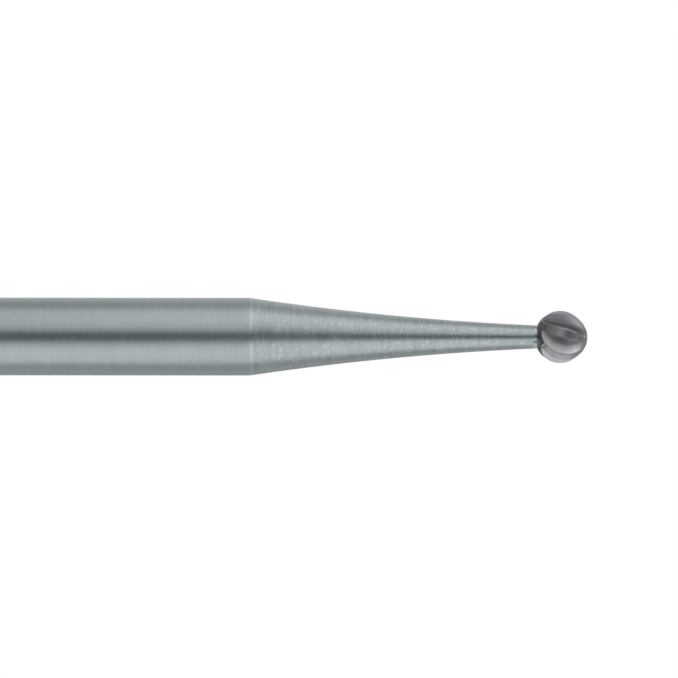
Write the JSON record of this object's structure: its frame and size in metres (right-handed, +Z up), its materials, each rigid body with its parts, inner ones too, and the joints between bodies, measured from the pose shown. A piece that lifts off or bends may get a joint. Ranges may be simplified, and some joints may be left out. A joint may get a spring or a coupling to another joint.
{
  "type": "round-head drill bit",
  "caption": "Straight-shank rotary tool bit with a hollow tapered neck and a small ball head cut into slanting teeth.",
  "frame": {"origin": "centre of the shank's rear end face, where the bit stops in a chuck", "axes": "+X along the bit's axis, from the shank's rear end to the tip of the head; +Z up"},
  "size_m": [0.0445, 0.0024, 0.0024],
  "materials": {
    "shank_steel": "satin ground steel with fine rings around the axis",
    "head_metal": "darker hard metal, finely ground, glossier than the shank"
  },
  "bodies": {
    "root": {"shank": "shank_steel", "cutting_head": "head_metal"}
  },
  "joints": []
}
